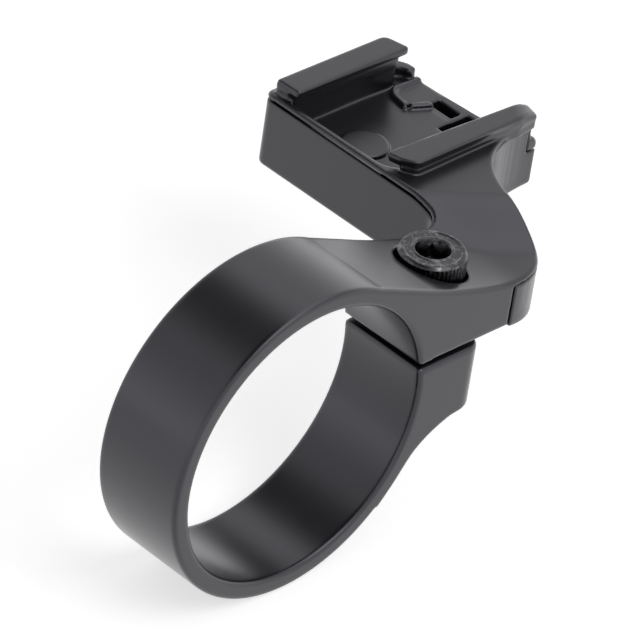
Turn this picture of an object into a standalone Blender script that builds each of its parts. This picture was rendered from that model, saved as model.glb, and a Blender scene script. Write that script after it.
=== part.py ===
"""Out-front mount for a bike computer: split handlebar clamp, curved arm and railed tray.

The origin is the centre of the handlebar bore. +X runs along the handlebar, +Y from the
clamp towards the arm and tray, +Z up along the clamp bolt. All sizes are in metres.
"""

import math

import bmesh
import bpy
from mathutils import Vector

# Handlebar clamp
BAR_DIAMETER = 0.0318
BAND_WALL = 0.00205
BAND_WIDTH = 0.0113
BAND_SEGMENTS = 96
BORE_EDGE = 0.0006
SPLIT_LOW = 0.00295
SPLIT_GAP = 0.0007
UPPER_EAR_END = 0.02825
LOWER_EAR_END = 0.0252
LOWER_EAR_CORNER = 0.0022
LOWER_EAR_EDGE = 0.0009
LOWER_EAR_DEPTH = 0.0077
LOWER_EAR_TAPER = 0.0009
LOWER_EAR_ROOT = 0.0146

# Top surface of the ear and the arm
EAR_START = 0.003
EAR_START_HEIGHT = 0.01763
EAR_SLOPE = 0.38
EAR_FLARE_START = 0.015
EAR_FLARE = 5.6
RISE_START = -0.004
RISE_END = -0.012
DECK_RISE = 0.0019
TOP_EDGE = 0.00045

# Arm and tray in plan
TRAY_LEFT = -0.0315
TRAY_RIGHT = -0.013
TRAY_NEAR = 0.02835
TRAY_FAR_LEFT = 0.0487
TRAY_FAR_MIDDLE = 0.0494
TRAY_FAR_RIGHT = 0.0508
TRAY_CORNER = 0.0012
ARM_CURVE_PULL_TRAY = 0.0208
ARM_CURVE_PULL_EAR = 0.0225
ARM_CURVE_END = 0.02407
ARM_CURVE_STEPS = 20
ARM_FILLET = 0.0025

# Tray details
FLOOR_HEIGHT = 0.008
CORNER_HEIGHT = 0.009
NEAR_WALL = 0.0015
NEAR_WALL_ROUND = 0.003
PLATE_THICKNESS = 0.002
RAIL_STEP_LEFT = 0.0455
RAIL_STEP_RIGHT = 0.048

# Rails
RAIL_TOP = 0.0135
FLANGE_THICKNESS = 0.0009
FLANGE_EDGE = 0.00025
FLANGE_CORNER = 0.0006
FLANGE_WIDTH = 0.0033
WEB_THICKNESS = 0.0011
LIP_OVERHANG = 0.001
RAIL_NEAR = 0.0288
RAIL_FAR = 0.0454
RIGHT_RAIL_INNER = -0.0143
RIGHT_RAIL_NOSE = 0.0013
RIGHT_RAIL_FAR = 0.0473
END_BLOCK_LENGTH = 0.003

# Floor features
BOSS_RADIUS = 0.0027
BOSS_HEIGHT = 0.0005
BOSS_X = -0.0228
BOSS_Y = 0.0344
PAD_LEFT = -0.0289
PAD_WIDTH = 0.0043
PAD_NEAR = 0.0433
PAD_HEIGHT = 0.0004
PAD_GROOVE = 0.0006
SLOT_FAR_X = -0.0229
SLOT_FAR_Y = 0.04675
SLOT_FAR_LENGTH = 0.003
SLOT_FAR_WIDTH = 0.0015
SLOT_SIDE_X = -0.0191
SLOT_SIDE_Y = 0.0455
SLOT_SIDE_LENGTH = 0.0045
SLOT_SIDE_WIDTH = 0.0028
PIN_HOLE_RADIUS = 0.0003

# Under cover
SEAM_GAP = 0.0003
LIP_THICKNESS = 0.0006
COVER_BOTTOM = 0.0027
COVER_WALL = 0.0007
COVER_FLOOR = 0.0018
COVER_EDGE = 0.0005
WEDGE_CUT = 0.0263

# Clamp bolt, nut and bore
BOLT_Y = 0.0212
BOLT_HEAD_RADIUS = 0.0035
BOLT_HEAD_HEIGHT = 0.004
BOLT_HEAD_BASE = 0.0085
BOLT_HEAD_EDGE = 0.0004
BOLT_SHANK_RADIUS = 0.00195
BOLT_THREAD_RADIUS = 0.00162
BOLT_LENGTH = 0.014
BOLT_THREAD_LENGTH = 0.007
BOLT_CLEARANCE = 0.0003
SOCKET_FLATS = 0.003
SOCKET_DEPTH = 0.0022
KNURL_COUNT = 36
KNURL_DEPTH = 0.00009
COUNTERBORE_CLEARANCE = 0.0006
NUT_FLATS = 0.007
NUT_HEIGHT = 0.0032
NUT_POCKET_CLEARANCE = 0.0002
NUT_SEAT = -0.002

# Cover screws
SCREW_PLACES = ((-0.027, 0.0335), (-0.0155, 0.0345), (-0.0005, 0.0325))
SCREW_HEAD_RADIUS = 0.0015
SCREW_HEAD_HEIGHT = 0.0008
SCREW_SHANK_RADIUS = 0.0007
SCREW_LENGTH = 0.0036
SCREW_CLEARANCE = 0.0003
SCREW_CROSS = 0.0004
SCREW_BOSS_WALL = 0.0009

# Worked out from the sizes above
BORE_RADIUS = BAR_DIAMETER / 2
BAND_RADIUS = BORE_RADIUS + BAND_WALL
HALF_WIDTH = BAND_WIDTH / 2
SPLIT_HIGH = SPLIT_LOW + SPLIT_GAP
FLANGE_BASE = RAIL_TOP - FLANGE_THICKNESS
LEFT_WEB_INNER = TRAY_LEFT + FLANGE_WIDTH - LIP_OVERHANG
RIGHT_WEB_INNER = RIGHT_RAIL_INNER + LIP_OVERHANG
RIGHT_RAIL_OUTER = RIGHT_RAIL_INNER + FLANGE_WIDTH
PLATE_UNDERSIDE = FLOOR_HEIGHT - PLATE_THICKNESS
PLUG_INSET = COVER_WALL + SEAM_GAP
BIG = 0.08
EPSILON = 0.00001
TOP_REFERENCE = 0.03
TOP_BAND = 0.02


def make_material(name, colour, roughness, metallic=0.0):
    material = bpy.data.materials.new(name)
    material.use_nodes = True
    shader = material.node_tree.nodes["Principled BSDF"]
    shader.inputs["Base Color"].default_value = (*colour, 1.0)
    shader.inputs["Roughness"].default_value = roughness
    shader.inputs["Metallic"].default_value = metallic
    return material


def add_object(name, bm, material=None):
    """Turn a bmesh into an object with its faces pointing out."""
    bmesh.ops.recalc_face_normals(bm, faces=bm.faces)
    mesh = bpy.data.meshes.new(name)
    bm.to_mesh(mesh)
    bm.free()
    obj = bpy.data.objects.new(name, mesh)
    bpy.context.scene.collection.objects.link(obj)
    if material:
        mesh.materials.append(material)
    return obj


def loft(name, loops, material=None):
    """Skin closed loops that have the same number of points, and cap both ends."""
    bm = bmesh.new()
    rings = [[bm.verts.new(point) for point in loop] for loop in loops]
    count = len(rings[0])
    for lower, upper in zip(rings, rings[1:]):
        for i in range(count):
            j = (i + 1) % count
            bm.faces.new((lower[i], lower[j], upper[j], upper[i]))
    bm.faces.new(list(reversed(rings[0])))
    bm.faces.new(rings[-1])
    return add_object(name, bm, material)


def inset(outline, distance):
    """Move each side of a counter-clockwise outline inwards by a distance."""
    moved = []
    count = len(outline)
    for i, (x, y) in enumerate(outline):
        px, py = outline[i - 1]
        nx, ny = outline[(i + 1) % count]
        before = Vector((x - px, y - py)).normalized()
        after = Vector((nx - x, ny - y)).normalized()
        normal_before = Vector((-before.y, before.x))
        normal_after = Vector((-after.y, after.x))
        mitre = (normal_before + normal_after) / (1 + normal_before.dot(normal_after))
        moved.append((x + mitre.x * distance, y + mitre.y * distance))
    return moved


def rounded(corners, steps=5):
    """Outline through (x, y, radius) corners, each radius drawn as an arc."""
    outline = []
    count = len(corners)
    for i, (x, y, radius) in enumerate(corners):
        here = Vector((x, y))
        if radius <= 0:
            outline.append((x, y))
            continue
        back = (Vector(corners[i - 1][:2]) - here).normalized()
        ahead = (Vector(corners[(i + 1) % count][:2]) - here).normalized()
        half = math.acos(max(-1.0, min(1.0, back.dot(ahead)))) / 2
        centre = here + (back + ahead).normalized() * (radius / math.sin(half))
        reach = radius / math.tan(half)
        start = here + back * reach - centre
        end = here + ahead * reach - centre
        turn = math.atan2(start.x * end.y - start.y * end.x, start.dot(end))
        for k in range(steps + 1):
            angle = turn * k / steps
            c, s = math.cos(angle), math.sin(angle)
            outline.append((centre.x + start.x * c - start.y * s, centre.y + start.x * s + start.y * c))
    return outline


def shrink(corners, distance):
    """Inset (x, y, radius) corners, with each radius brought in by as much."""
    moved = inset([corner[:2] for corner in corners], distance)
    return [(x, y, max(0.0, corner[2] - distance)) for (x, y), corner in zip(moved, corners)]


def rounded_levels(low, high, low_edge, high_edge, steps=3):
    """Heights and insets of a wall whose lower and upper edges are rounded."""
    levels = []
    for k in range(steps + 1):
        angle = math.pi / 2 * k / steps
        if low_edge > 0:
            levels.append((low + low_edge * (1 - math.sin(angle)), low_edge * (1 - math.cos(angle))))
    levels.reverse()
    if low_edge <= 0:
        levels.append((low, 0.0))
    if high_edge <= 0:
        levels.append((high, 0.0))
        return levels
    for k in range(steps + 1):
        angle = math.pi / 2 * k / steps
        levels.append((high - high_edge * (1 - math.sin(angle)), high_edge * (1 - math.cos(angle))))
    return levels


def plan_solid(name, outline, levels, material=None):
    """Solid that stands on a plan outline, with an inset at each height."""
    loops = [[(x, y, z) for x, y in inset(outline, step)] for z, step in levels]
    return loft(name, loops, material)


def side_solid(name, outline, levels, material=None):
    """Solid whose (y, z) outline is carried along X, with an inset at each x."""
    loops = [[(x, y, z) for y, z in inset(outline, step)] for x, step in levels]
    return loft(name, loops, material)


def box(name, low, high):
    outline = [(low[0], low[1]), (high[0], low[1]), (high[0], high[1]), (low[0], high[1])]
    return plan_solid(name, outline, [(low[2], 0), (high[2], 0)])


def turned(name, profile, segments, centre, material=None):
    """Revolve (radius, height) points about Z through a plan point, bottom to top."""
    loops = []
    for radius, height in profile:
        loops.append([
            (centre[0] + radius * math.cos(math.tau * k / segments),
             centre[1] + radius * math.sin(math.tau * k / segments), height)
            for k in range(segments)
        ])
    return loft(name, loops, material)


def turned_x(name, profile, segments):
    """Revolve (radius, x) points about the X axis."""
    loops = []
    for radius, x in profile:
        loops.append([
            (x, radius * math.cos(math.tau * (k + 0.5) / segments), radius * math.sin(math.tau * (k + 0.5) / segments))
            for k in range(segments)
        ])
    return loft(name, loops)


def hexagon(flats, steps=6):
    radius = flats / math.sqrt(3)
    return [(radius * math.cos(math.tau * k / steps), radius * math.sin(math.tau * k / steps)) for k in range(steps)]


def combine(target, tool, operation):
    """Apply a Boolean to the target, and remove the tool."""
    modifier = target.modifiers.new("combine", "BOOLEAN")
    modifier.operation = operation
    modifier.object = tool
    modifier.solver = "EXACT"
    evaluated = target.evaluated_get(bpy.context.evaluated_depsgraph_get())
    mesh = bpy.data.meshes.new_from_object(evaluated)
    target.modifiers.remove(modifier)
    target.data = mesh
    bpy.data.objects.remove(tool)


def cut(target, *tools):
    for tool in tools:
        combine(target, tool, "DIFFERENCE")


def join(target, *tools):
    for tool in tools:
        combine(target, tool, "UNION")


def tidy(obj):
    """Merge doubled points, drop slivers and shade the round faces smooth."""
    bm = bmesh.new()
    bm.from_mesh(obj.data)
    bmesh.ops.remove_doubles(bm, verts=bm.verts, dist=0.000001)
    bmesh.ops.dissolve_limit(bm, angle_limit=math.radians(0.05), verts=bm.verts, edges=bm.edges)
    bmesh.ops.triangulate(bm, faces=bm.faces)
    bmesh.ops.dissolve_degenerate(bm, dist=0.000001, edges=bm.edges)
    bm.to_mesh(obj.data)
    bm.free()
    obj.data.shade_smooth()
    obj.data.set_sharp_from_angle(angle=math.radians(30))


def ear_height(y):
    """Height of the ear's top: a straight slope that levels out towards its end."""
    y = min(y, UPPER_EAR_END)
    flare = max(0.0, y - EAR_FLARE_START)
    return EAR_START_HEIGHT - EAR_SLOPE * (y - EAR_START) + EAR_FLARE * flare * flare


def top_height(x, y):
    """Top surface: the ear's slope, and the smooth rise from the arm to the tray."""
    t = max(0.0, min(1.0, (RISE_START - x) / (RISE_START - RISE_END)))
    return ear_height(y) + DECK_RISE * t * t * (3 - 2 * t)


def follow_top(obj):
    """Bend the upper points of a solid so that they follow the top surface."""
    bm = bmesh.new()
    bm.from_mesh(obj.data)
    strips = 8
    for k in range(strips + 1):
        x = RISE_START + (RISE_END - RISE_START) * k / strips
        split_at(bm, (x, 0, 0), (1, 0, 0))
        y = EAR_FLARE_START + (UPPER_EAR_END - EAR_FLARE_START) * k / strips
        split_at(bm, (0, y, 0), (0, 1, 0))
    for vert in bm.verts:
        if vert.co.z > TOP_BAND:
            vert.co.z += top_height(vert.co.x, vert.co.y) - TOP_REFERENCE
    bmesh.ops.triangulate(bm, faces=bm.faces)
    bm.to_mesh(obj.data)
    bm.free()
    return obj


def split_at(bm, point, normal):
    geometry = list(bm.verts) + list(bm.edges) + list(bm.faces)
    bmesh.ops.bisect_plane(bm, geom=geometry, plane_co=point, plane_no=normal, dist=0.0000005)


def arm_curve():
    """S-shaped free edge of the arm, from the ear's near side to the tray's side."""
    ear = (Vector((HALF_WIDTH, ARM_CURVE_END)), Vector((HALF_WIDTH, ARM_CURVE_END + ARM_CURVE_PULL_EAR)))
    tray_end = TRAY_FAR_RIGHT + SEAM_GAP
    tray = (Vector((TRAY_RIGHT, tray_end - ARM_CURVE_PULL_TRAY)), Vector((TRAY_RIGHT, tray_end)))
    points = []
    for k in range(ARM_CURVE_STEPS + 1):
        t = k / ARM_CURVE_STEPS
        s = 1 - t
        point = ear[0] * s ** 3 + ear[1] * (3 * s * s * t) + tray[0] * (3 * s * t * t) + tray[1] * t ** 3
        points.append((point.x, point.y))
    return points


def tray_edge():
    """Far edge, left side and near wall of the tray, up to the fillet at the ear."""
    corner = TRAY_CORNER
    path = [
        (TRAY_RIGHT, TRAY_FAR_RIGHT, 0.0009),
        ((TRAY_LEFT + TRAY_RIGHT) / 2, TRAY_FAR_MIDDLE, 0.0),
        ((TRAY_LEFT * 2 + TRAY_RIGHT) / 3, TRAY_FAR_LEFT, 0.0),
        (TRAY_LEFT, TRAY_FAR_LEFT, corner),
        (TRAY_LEFT, TRAY_NEAR, corner),
        (-HALF_WIDTH, TRAY_NEAR, ARM_FILLET),
    ]
    return path


def body_outline():
    """Plan outline of the ear, the arm and the tray together."""
    corners = [(-HALF_WIDTH, EAR_START, 0.0), (HALF_WIDTH, EAR_START, 0.0)]
    corners += [(x, y, 0.0) for x, y in arm_curve()[:-1]]
    corners += tray_edge()
    return rounded(corners)


def cover_corners():
    """Corners of the under cover in plan, with a straight wall past the ear."""
    end = UPPER_EAR_END + SEAM_GAP
    corners = [(HALF_WIDTH, end, 0.0)]
    corners += [(x, y, 0.0) for x, y in arm_curve()[:-1] if y > end + SEAM_GAP]
    corners += tray_edge()[:-1]
    return corners


def cover_outline():
    """Plan outline of the under cover, with the fillet that wraps the ear's side."""
    side = -HALF_WIDTH - SEAM_GAP
    fillet = [(-HALF_WIDTH - ARM_FILLET, TRAY_NEAR)]
    steps = 5
    for k in range(1, steps + 1):
        angle = math.pi / 2 * k / steps
        x = -HALF_WIDTH - ARM_FILLET * (1 - math.sin(angle))
        y = TRAY_NEAR - ARM_FILLET * (1 - math.cos(angle))
        if x < side - SEAM_GAP:
            fillet.append((x, y))
    fillet.append((side, WEDGE_CUT))
    fillet.append((side, UPPER_EAR_END + SEAM_GAP))
    return rounded(cover_corners()) + fillet


def lower_ear_outline():
    """Side profile of the lower ear, which blends into the band."""
    bottom = SPLIT_LOW - LOWER_EAR_DEPTH
    root_z = -math.sqrt(BAND_RADIUS ** 2 - LOWER_EAR_ROOT ** 2)
    start = Vector((LOWER_EAR_ROOT, root_z))
    end = Vector((LOWER_EAR_END - 0.003, bottom - LOWER_EAR_TAPER / 2))
    pull = Vector((LOWER_EAR_ROOT + 0.0032, bottom - LOWER_EAR_TAPER * 1.4))
    outline = [(BORE_RADIUS * 0.8, root_z, 0.0)]
    steps = 8
    for k in range(steps + 1):
        t = k / steps
        point = start * (1 - t) ** 2 + pull * (2 * t * (1 - t)) + end * t * t
        outline.append((point.x, point.y, 0.0))
    outline += [
        (LOWER_EAR_END, bottom, LOWER_EAR_EDGE),
        (LOWER_EAR_END, SPLIT_LOW + LOWER_EAR_EDGE, 0.0),
        (BORE_RADIUS * 0.8, SPLIT_LOW + LOWER_EAR_EDGE, 0.0),
    ]
    return rounded(outline)


def lower_ear():
    """Lower ear: its side profile, with a round-cornered end in plan."""
    ear = side_solid("lower_ear", lower_ear_outline(), rounded_levels(-HALF_WIDTH, HALF_WIDTH, TOP_EDGE, TOP_EDGE))
    corner = LOWER_EAR_CORNER
    plan = rounded([
        (-HALF_WIDTH, BORE_RADIUS * 0.7, 0.0), (HALF_WIDTH, BORE_RADIUS * 0.7, 0.0),
        (HALF_WIDTH, LOWER_EAR_END, corner), (-HALF_WIDTH, LOWER_EAR_END, corner),
    ], 8)
    levels = rounded_levels(-BAND_RADIUS, SPLIT_LOW, 0.0, LOWER_EAR_EDGE)
    combine(ear, plan_solid("ear_end", plan, levels), "INTERSECT")
    return ear


def band_disc():
    """Disc with rounded rims that the bore is cut from."""
    levels = rounded_levels(-HALF_WIDTH, HALF_WIDTH, TOP_EDGE, TOP_EDGE)
    return turned_x("band", [(BAND_RADIUS - step, x) for x, step in levels], BAND_SEGMENTS)


def bore_tool():
    """Handlebar bore with flared rims."""
    half = []
    steps = 3
    for k in range(steps + 1):
        angle = math.pi / 2 * k / steps
        half.append((BORE_RADIUS + BORE_EDGE * (1 - math.cos(angle)), HALF_WIDTH - BORE_EDGE * (1 - math.sin(angle))))
    half.append((half[-1][0] + BORE_EDGE, HALF_WIDTH + BORE_EDGE))
    profile = [(r, -x) for r, x in reversed(half)] + half
    return turned_x("bore", profile, BAND_SEGMENTS)


def cover_room():
    """Space round the plug that the under cover fills, below the body's lip."""
    lip_base = TOP_REFERENCE - LIP_THICKNESS
    side = -HALF_WIDTH
    outline = [
        (BIG, UPPER_EAR_END), (BIG, BIG), (-BIG, BIG), (-BIG, TRAY_NEAR - ARM_FILLET),
        (side, TRAY_NEAR - ARM_FILLET), (side, UPPER_EAR_END),
    ]
    room = plan_solid("cover_room", outline, [(-BIG, 0), (lip_base, 0)])
    plug = plan_solid("plug", rounded(shrink(cover_corners(), PLUG_INSET)), [(-BIG * 2, 0), (BIG, 0)])
    neck_half = HALF_WIDTH - PLUG_INSET
    neck = box("neck", (-neck_half, UPPER_EAR_END - EPSILON * 100, -BIG * 2),
               (neck_half, UPPER_EAR_END + PLUG_INSET * 2, BIG))
    low_lip = FLOOR_HEIGHT - LIP_THICKNESS
    middle = (TRAY_LEFT + TRAY_RIGHT) / 2
    left_end = box("left_end", (-BIG * 2, RAIL_FAR - LIP_THICKNESS, low_lip), (middle, BIG * 2, BIG))
    right_end = box("right_end", (-BIG * 2, RAIL_STEP_RIGHT - LIP_THICKNESS, low_lip), (BIG * 2, BIG * 2, BIG))
    cut(room, plug, neck, left_end, right_end)
    return room


def rail_outline(side):
    """Plan outline of a rail's flange."""
    if side == "left":
        right = TRAY_LEFT + FLANGE_WIDTH
        return rounded([
            (TRAY_LEFT, RAIL_NEAR, FLANGE_CORNER), (right, RAIL_NEAR, FLANGE_CORNER),
            (right, RAIL_FAR, FLANGE_CORNER), (TRAY_LEFT, RAIL_FAR - FLANGE_CORNER, FLANGE_CORNER * 2),
        ])
    return rounded([
        (RIGHT_RAIL_INNER, RAIL_NEAR, FLANGE_CORNER), (RIGHT_RAIL_OUTER, RAIL_NEAR + RIGHT_RAIL_NOSE, FLANGE_CORNER * 2),
        (RIGHT_RAIL_OUTER, RIGHT_RAIL_FAR, FLANGE_CORNER), (RIGHT_RAIL_INNER, RIGHT_RAIL_FAR - FLANGE_CORNER, FLANGE_CORNER * 2),
    ])


def make_bracket(material):
    """Clamp band, ears, arm and tray, moulded in one."""
    levels = rounded_levels(SPLIT_LOW, TOP_REFERENCE, 0.0, TOP_EDGE)
    body = follow_top(plan_solid("bracket", body_outline(), levels, material))
    band = band_disc()
    join(body, band, lower_ear())
    cut(body, bore_tool())
    cut(body, box("split", (-BIG, 0, SPLIT_LOW), (BIG, BIG, SPLIT_HIGH)))
    cut(body, box("below_plate", (-BIG, UPPER_EAR_END, -BIG), (BIG, BIG, PLATE_UNDERSIDE)))
    cut(body, follow_room(cover_room()))
    add_tray(body)
    add_bolt_seats(body)
    tidy(body)
    return body


def follow_room(room):
    """Give the cover's room a top that follows the body's top surface."""
    return follow_top(room)


def add_tray(body):
    """Rails, recess, steps and floor features."""
    web_overlap = WEB_THICKNESS / 4
    web_base = top_height(RISE_END, UPPER_EAR_END) - LIP_THICKNESS / 2
    left_web = box("left_web", (LEFT_WEB_INNER - WEB_THICKNESS, RAIL_NEAR + web_overlap, web_base),
                   (LEFT_WEB_INNER + web_overlap, RAIL_FAR, FLANGE_BASE + FLANGE_THICKNESS / 2))
    right_web = box("right_web", (RIGHT_WEB_INNER - web_overlap, RAIL_NEAR + NEAR_WALL, web_base),
                    (RIGHT_WEB_INNER + WEB_THICKNESS, RAIL_STEP_LEFT, FLANGE_BASE + FLANGE_THICKNESS / 2))
    join(body, left_web, right_web)
    inner_left = LEFT_WEB_INNER
    recess = plan_solid("recess", rounded([
        (inner_left, TRAY_NEAR + NEAR_WALL, 0.0004), (RIGHT_WEB_INNER, TRAY_NEAR + NEAR_WALL, NEAR_WALL_ROUND),
        (RIGHT_WEB_INNER, RAIL_STEP_LEFT, 0.0), (RIGHT_RAIL_INNER, RAIL_STEP_LEFT, 0.0),
        (RIGHT_RAIL_INNER, BIG, 0.0), (inner_left + 0.0004, BIG, 0.0),
        (inner_left + 0.0004, RAIL_STEP_LEFT, 0.0), (inner_left, RAIL_STEP_LEFT, 0.0),
    ]), [(FLOOR_HEIGHT, 0), (BIG, 0)])
    cut(body, recess)
    cut(body, box("left_step", (-BIG, RAIL_FAR + EPSILON, CORNER_HEIGHT), (inner_left + 0.001, BIG, BIG)))
    cut(body, box("right_step", (RIGHT_RAIL_INNER - 0.001, RAIL_STEP_RIGHT, FLOOR_HEIGHT), (BIG, BIG, BIG)))
    levels = rounded_levels(FLANGE_BASE, RAIL_TOP, FLANGE_EDGE, FLANGE_EDGE)
    for side in ("left", "right"):
        join(body, plan_solid(side + "_flange", rail_outline(side), levels))
    block = rounded([
        (RIGHT_RAIL_INNER + FLANGE_EDGE, RIGHT_RAIL_FAR - END_BLOCK_LENGTH, 0.0),
        (RIGHT_RAIL_OUTER - FLANGE_EDGE, RIGHT_RAIL_FAR - END_BLOCK_LENGTH, 0.0),
        (RIGHT_RAIL_OUTER - FLANGE_EDGE, RIGHT_RAIL_FAR - FLANGE_EDGE, 0.0003),
        (RIGHT_RAIL_INNER + FLANGE_EDGE, RIGHT_RAIL_FAR - 0.001, 0.0003),
    ])
    join(body, plan_solid("end_block", block, [(web_base, 0), (RAIL_TOP - FLANGE_EDGE, 0)]))
    add_floor_features(body)


def add_floor_features(body):
    root = FLOOR_HEIGHT - LIP_THICKNESS / 2
    here = (BOSS_X, BOSS_Y)
    profile = [(BOSS_RADIUS, root), (BOSS_RADIUS, FLOOR_HEIGHT), (BOSS_RADIUS - BOSS_HEIGHT / 2, FLOOR_HEIGHT + BOSS_HEIGHT)]
    join(body, turned("boss", profile, 40, here))
    pad = rounded([
        (PAD_LEFT, PAD_NEAR, PAD_WIDTH / 3), (PAD_LEFT + PAD_WIDTH, PAD_NEAR, PAD_WIDTH / 3),
        (PAD_LEFT + PAD_WIDTH, TRAY_FAR_LEFT - PAD_HEIGHT, 0.0), (PAD_LEFT, TRAY_FAR_LEFT - PAD_HEIGHT, 0.0),
    ])
    join(body, plan_solid("pad", pad, [(root, 0), (FLOOR_HEIGHT, 0), (FLOOR_HEIGHT + PAD_HEIGHT, PAD_HEIGHT / 2)]))
    for k in (1, 2):
        x = PAD_LEFT + PAD_WIDTH * k / 4
        groove = box("groove", (x - PAD_GROOVE / 2, PAD_NEAR + PAD_GROOVE * 2, FLOOR_HEIGHT + PAD_HEIGHT / 3),
                     (x + PAD_GROOVE / 2, BIG, BIG))
        cut(body, groove)
    far_slot = box("far_slot", (SLOT_FAR_X - SLOT_FAR_LENGTH / 2, SLOT_FAR_Y - SLOT_FAR_WIDTH / 2, 0),
                   (SLOT_FAR_X + SLOT_FAR_LENGTH / 2, SLOT_FAR_Y + SLOT_FAR_WIDTH / 2, BIG))
    side_slot = box("side_slot", (SLOT_SIDE_X - SLOT_SIDE_WIDTH / 2, SLOT_SIDE_Y - SLOT_SIDE_LENGTH / 2, 0),
                    (SLOT_SIDE_X + SLOT_SIDE_WIDTH / 2, SLOT_SIDE_Y + SLOT_SIDE_LENGTH / 2, BIG))
    pin_place = (PAD_LEFT + PAD_WIDTH - PAD_HEIGHT, PAD_NEAR - PIN_HOLE_RADIUS * 2)
    pin = turned("pin_hole", [(PIN_HOLE_RADIUS, FLOOR_HEIGHT - PIN_HOLE_RADIUS * 3), (PIN_HOLE_RADIUS, BIG)], 12, pin_place)
    cut(body, far_slot, side_slot, pin)
    for x, y in SCREW_PLACES:
        place = (x, y)
        radius = SCREW_SHANK_RADIUS + SCREW_BOSS_WALL
        base = COVER_BOTTOM + COVER_FLOOR + SEAM_GAP
        join(body, turned("screw_boss", [(radius, base), (radius, root)], 24, place))
        hole = SCREW_SHANK_RADIUS + SCREW_CLEARANCE
        top = COVER_BOTTOM + SCREW_HEAD_HEIGHT + SCREW_LENGTH + SCREW_CLEARANCE
        cut(body, turned("screw_hole", [(hole, 0), (hole, top)], 16, place))


def add_bolt_seats(body):
    """Counterbore and bore for the clamp bolt, and the nut's pocket."""
    place = (0, BOLT_Y)
    seat = BOLT_HEAD_BASE - BOLT_CLEARANCE
    wide = BOLT_HEAD_RADIUS + COUNTERBORE_CLEARANCE
    narrow = BOLT_SHANK_RADIUS + BOLT_CLEARANCE
    cut(body, turned("counterbore", [(wide, seat), (wide, BIG)], 48, place))
    cut(body, turned("bolt_hole", [(narrow, -BIG), (narrow, BIG)], 32, place))
    outline = [(x, y + BOLT_Y) for x, y in hexagon(NUT_FLATS + 2 * NUT_POCKET_CLEARANCE)]
    cut(body, plan_solid("nut_pocket", outline, [(-BIG, 0), (NUT_SEAT + NUT_POCKET_CLEARANCE, 0)]))


def make_under_cover(material):
    """Tub that closes the arm and the tray from below."""
    rim = TOP_REFERENCE - LIP_THICKNESS - SEAM_GAP
    outline = cover_outline()
    levels = rounded_levels(COVER_BOTTOM, rim, COVER_EDGE, 0.0)
    cover = follow_top(plan_solid("under_cover", outline, levels, material))
    inside = rounded(shrink(cover_corners(), COVER_WALL))
    cut(cover, plan_solid("cover_inside", inside, [(COVER_BOTTOM + COVER_FLOOR, 0), (BIG, 0)]))
    neck_half = HALF_WIDTH - COVER_WALL
    cut(cover, box("neck_notch", (-neck_half, 0, PLATE_UNDERSIDE - SEAM_GAP),
                   (neck_half, UPPER_EAR_END + SEAM_GAP + PLUG_INSET * 2, BIG)))
    back = LIP_THICKNESS + SEAM_GAP
    low_rim = FLOOR_HEIGHT - back
    middle = (TRAY_LEFT + TRAY_RIGHT) / 2
    cut(cover, box("left_rim", (-BIG, RAIL_FAR - back, low_rim), (middle, BIG, BIG)))
    cut(cover, box("right_rim", (-BIG, RAIL_STEP_RIGHT - back, low_rim), (BIG, BIG, BIG)))
    for x, y in SCREW_PLACES:
        place = (x, y)
        hole = SCREW_SHANK_RADIUS + SCREW_CLEARANCE
        sink = SCREW_HEAD_RADIUS + SCREW_CLEARANCE
        seat = COVER_BOTTOM + SCREW_HEAD_HEIGHT + SCREW_CLEARANCE
        cut(cover, turned("sink", [(sink, 0), (sink, seat)], 24, place))
        cut(cover, turned("hole", [(hole, 0), (hole, BIG)], 16, place))
    tidy(cover)
    return cover


def make_clamp_bolt(material):
    """Socket-head cap screw with a knurled head."""
    segments = KNURL_COUNT * 2
    top = BOLT_HEAD_HEIGHT
    shank = BOLT_SHANK_RADIUS
    core = BOLT_THREAD_RADIUS
    thread_start = -(BOLT_LENGTH - BOLT_THREAD_LENGTH)
    edge = BOLT_HEAD_EDGE
    profile = [
        (core - edge, -BOLT_LENGTH, 0), (core, -BOLT_LENGTH + edge, 0), (core, thread_start, 0),
        (shank, thread_start + edge, 0), (shank, 0, 0), (BOLT_HEAD_RADIUS - edge / 2, 0, 0),
        (BOLT_HEAD_RADIUS, edge / 2, 1), (BOLT_HEAD_RADIUS, top - edge * 2, 1),
        (BOLT_HEAD_RADIUS - KNURL_DEPTH, top - edge, 0), (BOLT_HEAD_RADIUS - edge, top, 0),
    ]
    loops = []
    for radius, height, knurled in profile:
        loop = []
        for k in range(segments):
            r = radius - KNURL_DEPTH * (k % 2) * knurled
            angle = math.tau * k / segments
            loop.append((r * math.cos(angle), r * math.sin(angle), height))
        loops.append(loop)
    bolt = loft("clamp_bolt", loops, material)
    socket = plan_solid("socket", hexagon(SOCKET_FLATS), [(top - SOCKET_DEPTH, 0), (top + SOCKET_DEPTH, 0)])
    cut(bolt, socket)
    tidy(bolt)
    bolt.location = (0, BOLT_Y, BOLT_HEAD_BASE)
    return bolt


def make_clamp_nut(material):
    """Hexagon nut held from turning by its pocket in the lower ear."""
    nut = plan_solid("clamp_nut", hexagon(NUT_FLATS), rounded_levels(-NUT_HEIGHT, 0, 0.0003, 0.0003, 1), material)
    bore = BOLT_THREAD_RADIUS + BOLT_CLEARANCE
    cut(nut, turned("nut_bore", [(bore, -BIG), (bore, BIG)], 32, (0, 0)))
    tidy(nut)
    nut.location = (0, BOLT_Y, NUT_SEAT)
    return nut


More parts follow.
